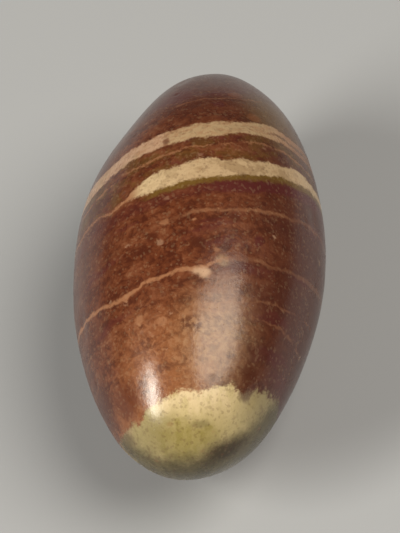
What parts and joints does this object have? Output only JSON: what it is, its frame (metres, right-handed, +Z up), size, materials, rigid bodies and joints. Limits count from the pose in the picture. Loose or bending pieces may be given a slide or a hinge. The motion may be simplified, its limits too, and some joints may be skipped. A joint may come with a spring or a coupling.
{
  "type": "shiva lingam stone",
  "caption": "Smooth egg-shaped stone of polished red-brown jasper with cream bands and a pale end, lying on its side on a small flat spot; an ornament or keepsake.",
  "frame": {"origin": "on the resting surface, under the middle of the stone's bounding box", "axes": "+Y along the stone's long axis, towards its slimmer end with the two cream bands; +Z up, away from the flat spot that it rests on"},
  "size_m": [0.03, 0.06, 0.0288],
  "materials": {
    "polished_jasper": "hand-polished semi-gloss, red-brown with cream bands and a cream end cap"
  },
  "bodies": {
    "root": {"lingam_stone": "polished_jasper"}
  },
  "joints": []
}
